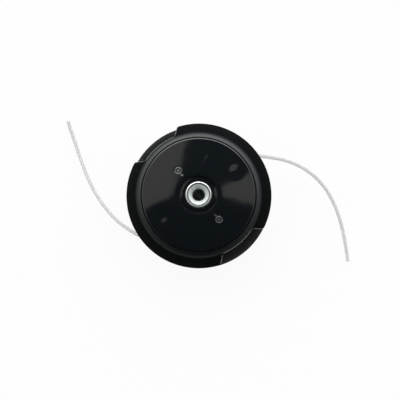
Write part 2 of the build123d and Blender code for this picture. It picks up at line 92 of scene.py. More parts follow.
def start_finish(name, **constants):
    """A Principled material with constant sockets; gives it, its shader and its coordinates in mm."""
    material = bpy.data.materials.new(name)
    material.use_nodes = True
    tree = material.node_tree
    shader = tree.nodes["Principled BSDF"]
    for key, value in constants.items():
        shader.inputs[key.replace("_", " ")].default_value = value
    place = Wire(tree).node("TexCoord", out="Object")
    at = place.node("VectorMath", {"operation": "SCALE"}, {0: place, "Scale": 1 / MM})
    return material, shader, at


def noise(at, scale, detail=2.0):
    """Cloudy noise from 0 to 1 with this many lumps per millimetre."""
    return at.node("TexNoise", None, {"Vector": at, "Scale": scale, "Detail": detail})


def between(value, low, high):
    """Rises from 0 to 1 as the value goes from low to high, and stays there."""
    return value.node("MapRange", None, {0: value, 1: low, 2: high})


def mixed(share, first, second):
    """The first colour where share is 0 and the second where it is 1."""
    return share.node("Mix", {"data_type": "RGBA"}, {0: share, 6: first, 7: second}, out=2)


def shade(*values):
    """A colour for a socket."""
    return (*values, 1.0)


def feed(shader, **wires):
    """Links wires to the shader's sockets of these names."""
    for key, wire in wires.items():
        wire.tree.links.new(wire.socket, shader.inputs[key.replace("_", " ")])


def relief(height, strength, distance):
    """Turns a height into a normal; distance is the relief's depth in metres."""
    return height.node("Bump", None, {"Height": height, "Strength": strength, "Distance": distance})


def stretched(at, *scale):
    """The coordinates times a factor along each axis, which draws a pattern out where it is small."""
    return at.node("VectorMath", {"operation": "MULTIPLY"}, {0: at, 1: scale})


def from_axis(at):
    """The distance from the shaft axis, in millimetres."""
    flat = stretched(at, 1.0, 1.0, 0.0)
    return flat.node("VectorMath", {"operation": "LENGTH"}, {0: flat}, out="Value")


def rounded(corners, reach, steps=5):
    """A profile with soft corners: a parabola runs from reach before each corner to reach after it."""
    corners = np.array(corners, float)
    before = np.roll(corners, 1, axis=0) - corners
    after = np.roll(corners, -1, axis=0) - corners
    before /= np.linalg.norm(before, axis=1, keepdims=True)
    after /= np.linalg.norm(after, axis=1, keepdims=True)
    length = np.array(reach, float)[:, None]
    t = np.linspace(0, 1, steps)[None, :, None]
    start = (corners + before * length)[:, None]
    end = (corners + after * length)[:, None]
    return ((1 - t) ** 2 * start + 2 * t * (1 - t) * corners[:, None] + t**2 * end).reshape(-1, 2)


def swung(radius, height, angle):
    """Points at a radius, an angle in degrees and a height; the three arrays share one grid."""
    radius, height, angle = np.broadcast_arrays(radius, height, np.radians(angle))
    return np.stack([radius * np.cos(angle), radius * np.sin(angle), height], axis=-1)


def carried(profile, angle):
    """A profile of (radius, height) carried round the shaft axis to each angle, in degrees."""
    return swung(profile[:, :1], profile[:, 1:], angle)


def make_piece(name, grids, finishes, crease=34):
    """Joins grids of points in mm, each (rows x columns x 3, wraps round, finish number), into a shell.

    Neighbouring points of a grid span quads, seams are merged, and edges sharper than crease stay sharp.
    """
    corners = []
    numbers = []
    start = 0
    for points, wrap, finish in grids:
        rows, columns = points.shape[:2]
        index = np.arange(rows * columns).reshape(rows, columns) + start
        if wrap:
            index = np.column_stack([index, index[:, 0]])
        cells = [index[:-1, :-1], index[:-1, 1:], index[1:, 1:], index[1:, :-1]]
        corners.append(np.stack(cells, axis=-1).reshape(-1, 4))
        numbers.append(np.full(len(corners[-1]), finish))
        start += rows * columns
    places = np.concatenate([points.reshape(-1, 3) for points, _, _ in grids]) * MM
    corners = np.concatenate(corners)
    mesh = bpy.data.meshes.new(name)
    mesh.vertices.add(start)
    mesh.vertices.foreach_set("co", places.ravel())
    mesh.loops.add(corners.size)
    mesh.loops.foreach_set("vertex_index", corners.ravel())
    mesh.polygons.add(len(corners))
    mesh.polygons.foreach_set("loop_start", np.arange(0, corners.size, 4))
    mesh.polygons.foreach_set("material_index", np.concatenate(numbers))
    mesh.update(calc_edges=True)
    return finish_piece(name, mesh, finishes, crease)


def finish_piece(name, mesh, finishes, crease):
    """Merges a mesh's seams, turns its faces outwards, smooths it and makes its object."""
    shell = bmesh.new()
    shell.from_mesh(mesh)
    bmesh.ops.remove_doubles(shell, verts=shell.verts, dist=WELD)
    bmesh.ops.dissolve_degenerate(shell, edges=shell.edges, dist=WELD)
    bmesh.ops.recalc_face_normals(shell, faces=shell.faces)
    shell.to_mesh(mesh)
    shell.free()
    mesh.shade_smooth()
    mesh.set_sharp_from_angle(angle=np.radians(crease))
    for finish in finishes:
        mesh.materials.append(finish)
    piece = bpy.data.objects.new(name, mesh)
    bpy.context.scene.collection.objects.link(piece)
    return piece


def seat(piece, body, slot, *nodes):
    """Ties a piece to its body and to the nodes that it stands for, which it hides; slot is not used."""
    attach(piece, body)
    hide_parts(*nodes)


journal_radius = 7.0
journal_foot = 14.5
journal_chamfer = 0.5
hex_foot = 40.0
hex_top = 42.8
hex_half = 10.0
head_radius = 9.0
head_top = 46.8
rim_radius = 7.9
ring_radius = 7.3
ring_floor = 46.1
mouth_top = 46.45
throat = (4.9, 44.05)
lead_in = (4.86, 42.4)
bore_radius = 4.46
bore_top = 42.0
bore_end = 22.8
bush_angle = np.linspace(0, 360, 128, endpoint=False)[None, :]
journal_line = [
    (0, journal_foot),
    (journal_radius - journal_chamfer, journal_foot),
    (journal_radius, journal_foot + journal_chamfer),
    (journal_radius, hex_foot),
]
head_line = [
    (head_radius, hex_top),
    (head_radius, head_top),
    (rim_radius, head_top),
    (rim_radius, ring_floor),
    (ring_radius, ring_floor),
    (ring_radius, mouth_top),
    throat,
]
bush_outside = rounded(journal_line, [0, 0.1, 0.1, 0])
bush_head = rounded(head_line, [0, 0.5, 0.3, 0.12, 0.12, 0.2, 0])
bush_throat = np.array([throat, lead_in, (bore_radius, bore_top)])
drill_point = np.array([(bore_radius, bore_end), (2.2, 21.4), (0, 20.1)])
hexagon = hex_half / np.cos(np.radians(bush_angle % 60 - 30))
bush_hex = np.concatenate(
    [
        swung(journal_radius, hex_foot, bush_angle),
        swung(hexagon, hex_foot, bush_angle),
        swung(hexagon, hex_top, bush_angle),
        swung(head_radius, hex_top, bush_angle),
    ]
)

# Thread: each groove is full over a tenth of the pitch and slopes out over a fifth on either side
thread_pitch = 1.0
thread_depth = 0.54
thread_run_in = 0.3
thread_run_out = 0.8
thread_z = np.linspace(bore_top, bore_end, 158)[:, None]
thread_phase = (thread_z / thread_pitch + bush_angle / 360) % 1
thread_start = np.clip((bore_top - thread_z) / thread_run_in, 0, 1)
thread_end = np.clip((thread_z - bore_end) / thread_run_out, 0, 1)
thread_groove = np.clip(1.25 - 2.5 * np.abs(2 * thread_phase - 1), 0, 1)
thread_cut = thread_depth * (thread_start * thread_end) * thread_groove
thread = swung(bore_radius + thread_cut, thread_z, bush_angle)

zinc, zinc_shader, at = start_finish("zinc_plate", Metallic=0.85)
clouds = noise(at, 0.9)
radius = from_axis(at)
tool_marks = (radius * 21.0).math("SINE")
# Painted shade: the groove between the head's rim and the ring is darkened in the base colour
painted_groove_shade = between(radius, 7.1, 7.35) * between(radius, 8.5, 8.15)
plate = mixed(clouds, shade(0.72, 0.74, 0.74), shade(0.82, 0.83, 0.82))
feed(
    zinc_shader,
    Base_Color=mixed(painted_groove_shade, plate, shade(0.10, 0.11, 0.11)),
    Roughness=0.28 + clouds * 0.14 + painted_groove_shade * 0.2,
    Normal=relief(tool_marks * 0.5 + noise(at, 6.0), 0.25, 0.03 * MM),
)
# The thread and the drill point are darker than the plate, partly for oil and partly as painted shade
# inside the bore
oiled_and_shaded, oiled_and_shaded_shader, at = start_finish("oiled_thread_painted_shade", Metallic=1.0)
film = noise(at, 0.8, 3.0)
feed(
    oiled_and_shaded_shader,
    Base_Color=mixed(film, shade(0.30, 0.34, 0.34), shade(0.46, 0.50, 0.50)),
    Roughness=0.5 + film * 0.2,
    Normal=relief(noise(at, 4.0), 0.3, 0.03 * MM),
)
bush = make_piece(
    "drive_bush_turned",
    [
        (carried(bush_outside, bush_angle), True, 0),
        (bush_hex, True, 0),
        (carried(bush_head, bush_angle), True, 0),
        (carried(bush_throat, bush_angle), True, 0),
        (thread, True, 1),
        (carried(drill_point, bush_angle), True, 1),
    ],
    [zinc, oiled_and_shaded],
)
seat(bush, "housing", "plated_steel", "drive_bush")


# Top cover: one black moulding, polished on the dome and finely spark-eroded on shoulder and skirt.
# Two notches in the skirt leave room for a finger on the press tabs, and gussets stiffen the skirt.
def bowed(radius, start, end, rise):
    """Height at a radius on the circle through two points that bulges by rise above their chord."""
    (r0, z0), (r1, z1) = start, end
    chord = np.hypot(r1 - r0, z1 - z0)
    curve = (chord**2 / 4 + rise**2) / (2 * rise)
    down = (curve - rise) / chord
    centre_r = (r0 + r1) / 2 - (z0 - z1) * down
    centre_z = (z0 + z1) / 2 - (r1 - r0) * down
    return centre_z + np.sqrt(curve**2 - (radius - centre_r) ** 2)


notch_azimuths = (130.0, 310.0)
notch_half = 17.8
notch_flare = 49.0
lip_foot = 44.0
lip_top = 44.3
lip_out = 41.4
shoulder_in = 41.0
shoulder_out = 45.0
shoulder_foot = 41.4
shoulder_bow = 0.36
notch_radius = shoulder_out
skirt_radius = 52.0
skirt_foot = 30.5
skirt_bow = 0.3
skirt_under = 36.95
rim_start = 51.3
rim_in = 51.2
wall_foot = 49.8
tip_round = 1.2
edge_round = 0.4
lining_inner = 44.0
lining_foot = 33.4
lining_head = 39.2
window_half = 9.0
window_low = 35.4
window_high = 37.1
polished_face, eroded_face, matt_face, edge_highlight_face = range(4)
shoulder_ends = ((shoulder_in, lip_top), (shoulder_out, shoulder_foot))
skirt_ends = ((shoulder_out, shoulder_foot), (52.5, 31.5))


def outer_height(radius):
    """Height of the shoulder and of the skirt below it, at a radius."""
    shoulder = bowed(np.minimum(radius, shoulder_out), *shoulder_ends, shoulder_bow)
    skirt = bowed(np.maximum(radius, shoulder_out), *skirt_ends, skirt_bow)
    return np.where(radius < shoulder_out, shoulder, skirt)


def on_outside(radius):
    """Profile points of (radius, height) on the shoulder and skirt."""
    return np.column_stack([radius, outer_height(radius)])


def notch_side(radius):
    """Half the notch's angle at a radius: a straight flared side, rounded off at the skirt's tip."""
    spread = np.radians(notch_flare - notch_half)
    along = notch_radius * np.cos(spread)
    run = np.sqrt(along**2 + np.maximum(radius, notch_radius) ** 2 - notch_radius**2) - along
    across = run * np.sin(np.radians(notch_flare)) + notch_radius * np.sin(np.radians(notch_half))
    ahead = run * np.cos(np.radians(notch_flare)) + notch_radius * np.cos(np.radians(notch_half))
    into = np.clip((radius - skirt_radius + tip_round) / tip_round, 0, 1)
    tip = tip_round / skirt_radius * (1 - np.sqrt(1 - into**2))
    return np.degrees(np.arctan2(across, ahead) + tip)


def joined(*lines):
    """Lines of points one after the other."""
    return np.concatenate([np.array(line, float) for line in lines])


def curved(share, start, corner, end):
    """Points on the parabola that leaves start towards a corner and comes from it to end."""
    return (1 - share) ** 2 * start + 2 * share * (1 - share) * corner + share**2 * end


# Columns round the cover: the same angles in each notch and in each sector of skirt between them
notch_steps = joined(
    np.linspace(-notch_half, -window_half, 10),
    np.linspace(-window_half, window_half, 21)[1:],
    np.linspace(window_half, notch_half, 10)[1:],
)
sector_steps = np.linspace(0, 1, 161)
sector_start = notch_azimuths[0] + notch_half
sector_span = 180 - 2 * notch_half
half_turn = joined(notch_azimuths[0] + notch_steps[:-1], sector_start + sector_span * sector_steps[:-1])
round_angle = joined(half_turn, half_turn + 180)[None, :]
notch_soft = edge_round * np.clip((notch_half - np.abs(notch_steps)) / 2.0, 0, 1)
half_soft = joined(notch_soft[:-1], np.zeros(len(sector_steps) - 1))
round_soft = joined(half_soft, half_soft)[None, :]

# Rows from the hub to the groove: recess and its wall, land, dome and the dome's rolled edge
hub_bore = 9.45
hub_foot = 40.0
recess_high = 45.46
recess_low = 45.11
recess_turn = (12.9, 45.14)
recess_radius = 13.3
land_low = 47.1
cover_top = 47.2
land_radius = 16.0
dome_foot = (40.2, 45.5)
dome_bow = 0.12
roll_radius = 1.5
roll_centre = (39.17, 44.09)
roll_degrees = (7, 62)
roll_split = 7  # the row where the polish ends
groove_in = 40.58
groove_floor = 43.8
recess = rounded([(hub_bore, hub_foot), (hub_bore, recess_high), recess_turn], [0, 0.2, 0])
recess_wall = rounded([recess_turn, (recess_radius, recess_low), (recess_radius, land_low)], [0, 0.25, 0])
land = rounded([(recess_radius, land_low), (recess_radius, cover_top), (15.8, cover_top)], [0, 0.07, 0])
dome_r = joined(
    np.linspace(land_radius, 18.2, 6),
    np.linspace(18.5, 26.5, 26),
    np.linspace(27, 39.15, 26),
)
dome = np.column_stack([dome_r, bowed(dome_r, (land_radius, cover_top), dome_foot, dome_bow)])
roll_turn = np.radians(np.linspace(*roll_degrees, 13))
roll = np.column_stack(
    [roll_centre[0] + roll_radius * np.sin(roll_turn), roll_centre[1] + roll_radius * np.cos(roll_turn)]
)
groove_line = [roll[-1], (groove_in, groove_floor), (shoulder_in, groove_floor), (shoulder_in, lip_foot)]
groove = joined(roll[roll_split - 1 :], rounded(groove_line, [0, 0.1, 0.1, 0]))
polished_rows = joined(land, dome, roll[:roll_split])
polished = carried(polished_rows, round_angle)

# Pressed marks and sink marks of the dome
mark_radius = 22.6
mark_azimuths = (129.8, 309.9)
mark_depth = 0.2
mark_ring = 2.1
mark_dot = 0.75
mark_slope = 0.24
ring_half = 0.42
bar_half = 0.45
bar_reach = 1.0
bar_offset = 4.0
sink_depth = 0.24
sink_spots = ((32.5, 30.8, 2.8), (211.0, 30.0, 3.2))
smooth_from = 16.2
smooth_to = 38.6


def press_mark(x, y, azimuth):
    """Depth share of a plain mark on an azimuth: a ring with a dot, and a bar towards the hub."""
    turn = np.radians(azimuth)
    ahead = x * np.cos(turn) + y * np.sin(turn) - mark_radius
    aside = y * np.cos(turn) - x * np.sin(turn)
    away = np.hypot(ahead, aside)
    ring = ring_half - np.abs(away - mark_ring)
    dot = mark_dot - away
    bar = np.minimum(bar_half - np.abs(aside), bar_reach - np.abs(ahead + bar_offset))
    return np.clip(np.maximum(np.maximum(ring, dot), bar) / mark_slope + 0.5, 0, 1)


def sink_mark(x, y, azimuth, radius, width):
    """Share of a shallow sink mark: a bell curve about one spot of the dome."""
    turn = np.radians(azimuth)
    gap = (x - radius * np.cos(turn)) ** 2 + (y - radius * np.sin(turn)) ** 2
    return np.exp(-gap / (2 * width**2))


on_dome = ((polished_rows[:, 0] > smooth_from) & (polished_rows[:, 0] < smooth_to))[:, None]
dome_x = polished[..., 0]
dome_y = polished[..., 1]
marks = mark_depth * sum(press_mark(dome_x, dome_y, azimuth) for azimuth in mark_azimuths)
sinks = sink_depth * sum(sink_mark(dome_x, dome_y, *spot) for spot in sink_spots)
polished[..., 2] -= on_dome * (marks + sinks)

# Rows of the eroded part inside the notches: lip and shoulder, up to the notch's edge
lip_line = [(shoulder_in, lip_foot), (shoulder_in, lip_top), (lip_out, outer_height(lip_out))]
shoulder_rows = joined(rounded(lip_line, [0, 0.12, 0]), on_outside(np.linspace(41.75, 44.55, 9)))
brink = notch_radius - round_soft
shoulder = np.concatenate(
    [carried(shoulder_rows, round_angle), swung(brink, outer_height(brink), round_angle)]
)

# Skirt between the notches: outer face, rim, inner face and two rounded ends
rim_line = [
    (rim_start, outer_height(rim_start)),
    (skirt_radius, outer_height(skirt_radius)),
    (skirt_radius, skirt_foot),
    (rim_in, skirt_foot),
]
skirt_r = joined([notch_radius], np.linspace(45.3, rim_start, 14))
skirt_out = joined(on_outside(skirt_r), rounded(rim_line, [0, 0.5, 0.4, 0], steps=4))
inner_line = np.array([(notch_radius, skirt_under), (wall_foot, skirt_foot), (rim_in, skirt_foot)])
inner_run = joined([0], np.cumsum(np.linalg.norm(np.diff(inner_line, axis=0), axis=1)))
inner_at = np.linspace(0, inner_run[-1], len(skirt_out))
skirt_in = np.column_stack([np.interp(inner_at, inner_run, inner_line[:, i]) for i in (0, 1)])
end_soft = edge_round * np.clip((skirt_out[:, :1] - notch_radius) / 1.5, 0, 1)
end_soft[-4:] = 0  # all four points of the last corner, where the outer and inner face meet
out_side = notch_side(skirt_out[:, :1])
soft_side = out_side + np.degrees(end_soft / skirt_out[:, :1])
in_side = notch_side(skirt_in[:, :1])
edge_z = outer_height(notch_radius)
end_levels = np.array([0, 0.25, 0.5, 0.75, (edge_z - window_high) / (edge_z - skirt_under), 1])
bend = np.linspace(0, 1, 5)
hair = 1e-6

skirt_grids = []
for azimuth in notch_azimuths:
    first = azimuth + soft_side
    last = azimuth + 180 - soft_side
    outside = carried(skirt_out, first + (last - first) * sector_steps)
    skirt_grids.append((outside, False, eroded_face))
    first = azimuth + in_side
    last = azimuth + 180 - in_side
    inner = carried(skirt_in, first + (last - first) * sector_steps)
    brow = swung(lining_inner, lining_head, azimuth + notch_half + sector_span * sector_steps[None, :])
    skirt_grids.append((np.concatenate([brow, inner]), False, matt_face))
    for hand in (1, -1):
        soft = carried(skirt_out, azimuth + hand * soft_side)
        corner = carried(skirt_out, azimuth + hand * out_side)
        inside = carried(skirt_in, azimuth + hand * in_side)
        depth = np.linalg.norm(inside - corner, axis=-1, keepdims=True)
        share = np.minimum(end_soft[..., None], 0.45 * depth) / np.maximum(depth, hair)
        below = corner + (inside - corner) * share
        flat = below + (inside - below) * end_levels[None, :, None]
        # The rounded ends of the skirt take the pale finish, a painted highlight along the edge
        skirt_grids.append((curved(bend[None, :, None], soft, corner, below), False, edge_highlight_face))
        skirt_grids.append((flat, False, matt_face))

# Lining of each notch, with a window that shows the latch of the press tab
lining_grids = []
left_steps = notch_steps[notch_steps < -window_half + hair]
right_steps = notch_steps[notch_steps > window_half - hair]
window_steps = notch_steps[np.abs(notch_steps) < window_half + hair]


def line_notch(rows, angles):
    """Adds a sheet of the lining: rows of (radius, height) carried to the given angles."""
    lining_grids.append((carried(np.array(rows, float), angles[None, :]), False, eroded_face))


for azimuth in notch_azimuths:
    soft_r = notch_radius - notch_soft
    top = np.stack([soft_r, outer_height(soft_r)], axis=-1)[None]
    corner = np.array([notch_radius, edge_z])[None, None]
    below = np.stack([np.full_like(soft_r, notch_radius), edge_z - notch_soft], axis=-1)[None]
    brow = curved(bend[:, None, None], top, corner, below)
    brow = swung(brow[..., 0], brow[..., 1], azimuth + notch_steps[None, :])
    # The notch's brow takes the pale finish, a painted highlight along the edge
    lining_grids.append((brow, False, edge_highlight_face))
    drop = end_levels[:-1, None]
    wall_z = below[0, :, 1] * (1 - drop) + skirt_under * drop
    wall_z[-1] = window_high
    wall = swung(notch_radius, wall_z, azimuth + notch_steps[None, :])
    lining_grids.append((wall, False, eroded_face))
    for steps in (left_steps, right_steps):
        line_notch([(notch_radius, z) for z in (window_high, skirt_under, window_low)], azimuth + steps)
        line_notch([(lining_inner, z) for z in (window_low, skirt_under, window_high)], azimuth + steps)
    foot = [(notch_radius, window_low), (notch_radius, lining_foot), (lining_inner, lining_foot)]
    line_notch(foot + [(lining_inner, window_low)], azimuth + notch_steps)
    line_notch([(lining_inner, window_high), (lining_inner, lining_head)], azimuth + notch_steps)
    for z in (window_low, window_high):
        line_notch([(notch_radius, z), (lining_inner, z)], azimuth + window_steps)
    radii = np.array([[notch_radius], [lining_inner]])
    jamb_z = np.array([[window_low, skirt_under, window_high]])
    for side in (-window_half, window_half):
        lining_grids.append((swung(radii, jamb_z, azimuth + side), False, eroded_face))
    outer_z = (skirt_under, skirt_under, skirt_under, window_low, lining_foot)
    inner_z = (lining_head, window_high, skirt_under, window_low, lining_foot)
    end_z = np.array([outer_z, inner_z])
    for side in (-notch_half, notch_half):
        lining_grids.append((swung(radii, end_z, azimuth + side), False, eroded_face))

# Underside: ring that the drum's spigot enters, ceiling and hub
ring_out = 38.6
ring_in = 36.7
ring_foot = 32.5
ceiling = 41.2
hub_radius = 13.9
under_line = [
    (lining_inner, lining_head),
    (41.7, ceiling),
    (ring_out, ceiling),
    (ring_out, ring_foot),
    (ring_in, ring_foot),
    (ring_in, 42.9),
    (hub_radius, 44.6),
    (hub_radius, hub_foot),
    (hub_bore, hub_foot),
]
under_rows = rounded(under_line, [0, 0.3, 0.5, 0.3, 0.3, 0.4, 0.6, 0.3, 0], steps=3)
gusset_count = 16
gusset_half = 0.8
gusset_free = 25  # degrees on either side of a notch without a gusset


def gusset(azimuth):
    """A plate between ring and skirt: two edges of four points each, drawn to the plate's two faces."""
    upper = np.array([(37.6, 42.0), (41.7, 42.0), (45.1, 39.4), (50.3, 33.8)])
    lower = np.array([(37.6, 36.2), (41.2, 35.4), (44.7, 34.5), (48.4, 33.8)])
    loop = np.stack([upper, upper, lower, lower], axis=1)
    aside = gusset_half * np.array([1, -1, -1, 1])[None, :]
    turn = np.radians(azimuth)
    x = loop[..., 0] * np.cos(turn) - aside * np.sin(turn)
    y = loop[..., 0] * np.sin(turn) + aside * np.cos(turn)
    bars = np.stack([x, y, loop[..., 1]], axis=-1)
    caps = bars[[0, -1]][:, [0, 1, 3, 2]].reshape(2, 2, 2, 3)
    return [(bars, True, eroded_face), (caps[0], False, eroded_face), (caps[1], False, eroded_face)]


gusset_grids = []
for azimuth in np.arange(gusset_count) * (360 / gusset_count):
    if abs((azimuth - notch_azimuths[0] + 90) % 180 - 90) > gusset_free:
        gusset_grids += gusset(azimuth)

# Polished black of the dome: smears, dust, fine hairlines, one scratch, and frosting in the marks
gloss, gloss_shader, at = start_finish("polished_black", IOR=1.5)
smears = noise(at, 0.12, 4.0)
dust = between(noise(at, 2.2, 1.0), 0.74, 0.8)
hairlines = between(noise(stretched(at, 0.35, 4.0, 1.0), 0.6, 3.0), 0.70, 0.74)
flat_at = stretched(at, 1.0, 1.0, 0.0)
to_marks = [
    at.node("VectorMath", {"operation": "DISTANCE"}, {0: flat_at, 1: spot}, out="Value")
    for spot in swung(mark_radius, 0.0, mark_azimuths).tolist()
]
to_mark = to_marks[0].math("MINIMUM", to_marks[1])
frosted_ring = between((to_mark - mark_ring).math("ABSOLUTE"), 0.6, 0.4)
frosted = frosted_ring.math("MAXIMUM", between(to_mark, 0.95, 0.7))
scratch_place = {0: at, "Location": (4.7, 25.2, 0.0), "Rotation": (0.0, 0.0, 1.1)}
scratch_at = at.node("Mapping", {"vector_type": "TEXTURE"}, scratch_place)
along = at.node("SeparateXYZ", None, {0: scratch_at}, out="X").math("ABSOLUTE")
across = at.node("SeparateXYZ", None, {0: scratch_at}, out="Y").math("ABSOLUTE")
waver = noise(at, 0.5, 2.0) * 0.3
scratch = between(across + waver, 0.36, 0.2) * between(along, 4.6, 2.8)
specks = dust * 0.5 + hairlines * 0.3 + scratch * 0.4
worn_black = mixed(specks, shade(0.0030, 0.0044, 0.0058), shade(0.03, 0.03, 0.03))
feed(
    gloss_shader,
    Base_Color=mixed(frosted, worn_black, shade(0.022, 0.024, 0.025)),
    Roughness=0.04 + smears * 0.05 + dust * 0.25 + hairlines * 0.12 + scratch * 0.2 + frosted * 0.3,
    Normal=relief(noise(at, 0.16, 1.0), 0.3, 0.05 * MM),
)


def lay_matt(shader, at):
    """Feeds a shader the coarse matt grain of the skirt, rubbed grey in patches."""
    grain = noise(at, 4.0, 3.0)
    rubs = between(noise(at, 0.9, 6.0), 0.58, 0.8)
    feed(
        shader,
        Base_Color=mixed(rubs, shade(0.0030, 0.0034, 0.0037), shade(0.010, 0.0105, 0.0107)),
        Roughness=0.42 + grain * 0.2,
        Normal=relief(grain, 0.5, 0.06 * MM),
    )


# Matt black of the inner faces, and eroded black, which shines on the shoulder and turns matt on the skirt
matt_sockets = {"IOR": 1.46, "Specular IOR Level": 0.012}
matt, matt_shader, at = start_finish("matt_black", **matt_sockets)
lay_matt(matt_shader, at)
eroded, eroded_shader, at = start_finish("eroded_black", IOR=1.45)
grain = noise(at, 5.5, 2.0)
rubs = between(noise(at, 0.35, 5.0), 0.55, 0.75)
feed(
    eroded_shader,
    Base_Color=mixed(rubs, shade(0.003, 0.0038, 0.0044), shade(0.006, 0.0072, 0.0078)),
    Roughness=0.24 + grain * 0.14 - rubs * 0.04,
    Normal=relief(grain, 0.3, 0.04 * MM),
)
shine = Wire(at.tree, eroded_shader.outputs[0])
dull = at.node("BsdfPrincipled", None, matt_sockets)
lay_matt(dull.socket.node, at)
both = at.node("MixShader", None, {0: between(from_axis(at), 42.8, 45.1), 1: shine, 2: dull})
at.tree.links.new(both.socket, at.tree.nodes["Material Output"].inputs["Surface"])

# Edges of the notches, painted pale as a highlight along their rounded brink
painted_edge_highlight, painted_edge_highlight_shader, at = start_finish("notch_edge_highlight", IOR=1.48)
highlight_mottle = noise(at, 0.9, 4.0)
feed(
    painted_edge_highlight_shader,
    Base_Color=mixed(highlight_mottle, shade(0.06, 0.06, 0.06), shade(0.18, 0.18, 0.18)),
    Roughness=0.3 + highlight_mottle * 0.2,
    Normal=relief(highlight_mottle, 0.3, 0.05 * MM),
)
turned_grids = [
    (carried(recess, round_angle), True, polished_face),
    (carried(recess_wall, round_angle), True, matt_face),
    (polished, True, polished_face),
    (carried(groove, round_angle), True, matt_face),
    (shoulder, True, eroded_face),
    (carried(under_rows, round_angle), True, matt_face),
]
cover = make_piece(
    "top_cover_moulding",
    turned_grids + skirt_grids + lining_grids + gusset_grids,
    [gloss, eroded, matt, painted_edge_highlight],
)
seat(cover, "housing", "cover_plastic", "top_cover")


# Bottom cover: a satin black drum with the floor, the lugs and two ribbed press tabs in one moulding.
# Its spigot enters the cover's ring, and the tabs' barbs snap into the notch linings.
def dressed(name, node, finish, crease=30):
    """A copy of a solid's mesh, merged so that its curved faces shade smoothly."""
    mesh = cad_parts[node].data.copy()
    mesh.materials.clear()
    return finish_piece(name, mesh, [finish], crease)


satin, satin_shader, at = start_finish("satin_black", IOR=1.46, Specular_IOR_Level=0.02)
grain = noise(at, 4.5, 2.0)
flow = noise(at, 0.08, 4.0)
height = at.node("SeparateXYZ", None, {0: at}, out="Z")
scuffs = between(noise(at, 0.7, 5.0), 0.62, 0.78) * between(height, 16.0, 9.0)
greyed = flow * 0.5 + scuffs * 0.5
feed(
    satin_shader,
    Base_Color=mixed(greyed, shade(0.0034, 0.0038, 0.0040), shade(0.015, 0.0154, 0.0154)),
    Roughness=0.4 + grain * 0.14 + scuffs * 0.15,
    Normal=relief(grain + scuffs * 0.6, 0.45, 0.05 * MM),
)
drum = dressed("bottom_cover_moulding", "bottom_cover", satin)
seat(drum, "housing", "case_plastic", "bottom_cover")


# Line eyelets: spun aluminium grommets with a flared mouth, rolled over inside the drum.
# The line runs out through them, so the mouth is polished and faintly grooved by it.
eyelet_z = 22.0
eyelet_bore = 1.5
eyelet_shank = 2.5
eyelet_in = 35.3
eyelet_out = 40.4
drum_in = 36.0
drum_out = 39.4
clinch_radius = 3.3
flare_radius = 4.3
eyelet_line = [
    (eyelet_in, eyelet_bore),
    (eyelet_in, clinch_radius),
    (drum_in, clinch_radius),
    (drum_in, eyelet_shank),
    (drum_out, eyelet_shank),
    (drum_out, flare_radius),
    (eyelet_out, flare_radius),
    (eyelet_out, 2.9),
    (38.6, eyelet_bore),
]
eyelet_profile = rounded(eyelet_line, [0.15, 0.25, 0.25, 0.1, 0.1, 0.2, 0.45, 0.5, 0.6])
eyelet_profile = joined(eyelet_profile, eyelet_profile[:1])


def spun(azimuth):
    """The eyelet's profile of (distance from the shaft, radius) turned about its own radial axis."""
    roll = np.radians(np.linspace(0, 360, 48, endpoint=False))[None, :]
    along = eyelet_profile[:, :1] + 0 * roll
    aside = eyelet_profile[:, 1:] * np.cos(roll)
    rise = eyelet_profile[:, 1:] * np.sin(roll)
    turn = np.radians(azimuth)
    x = along * np.cos(turn) - aside * np.sin(turn)
    y = along * np.sin(turn) + aside * np.cos(turn)
    return np.stack([x, y, eyelet_z + rise], axis=-1)


spun_metal, spun_shader, at = start_finish("spun_aluminium", Metallic=1.0)
streaks = noise(stretched(at, 1.0, 1.0, 5.0), 1.6, 3.0)
feed(
    spun_shader,
    Base_Color=mixed(streaks, shade(0.62, 0.62, 0.63), shade(0.80, 0.80, 0.80)),
    Roughness=0.24 + streaks * 0.2,
    Normal=relief(streaks, 0.2, 0.03 * MM),
)
for side, azimuth in (("right", 40.0), ("left", 220.0)):
    eyelet = make_piece("line_eyelet_" + side + "_spun", [(spun(azimuth), True, 0)], [spun_metal])
    seat(eyelet, "housing", "eyelet_metal", "line_eyelet_" + side)


# Spool: a black nylon bobbin with two chambers, a spring cup in its hub and lugs on both faces.
# It is moulded in one piece, and its flanges are polished by the line.
bobbin, bobbin_shader, at = start_finish("bobbin_black", IOR=1.5)
flow = noise(at, 0.12, 4.0)
grain = noise(at, 3.0, 2.0)
feed(
    bobbin_shader,
    Base_Color=mixed(flow, shade(0.018, 0.018, 0.02), shade(0.034, 0.034, 0.036)),
    Roughness=0.32 + grain * 0.18,
    Normal=relief(grain, 0.3, 0.04 * MM),
)
seat(dressed("spool_moulding", "spool", bobbin), "spool", "spool_plastic", "spool")


# Spool sleeve: a sintered steel bush pressed into the spool's web, dark with oil.
# It runs on the journal of the drive bush, and its flange carries the spring.
sinter, sinter_shader, at = start_finish("oiled_sinter", Metallic=1.0)
pores = between(noise(at, 7.0, 2.0), 0.58, 0.68)
feed(
    sinter_shader,
    Base_Color=mixed(pores, shade(0.42, 0.40, 0.37), shade(0.10, 0.09, 0.08)),
    Roughness=0.38 + pores * 0.3,
    Normal=relief(1 - pores, 0.4, 0.03 * MM),
)
seat(dressed("spool_sleeve_sintered", "spool_sleeve", sinter), "spool", "sintered_steel", "spool_sleeve")


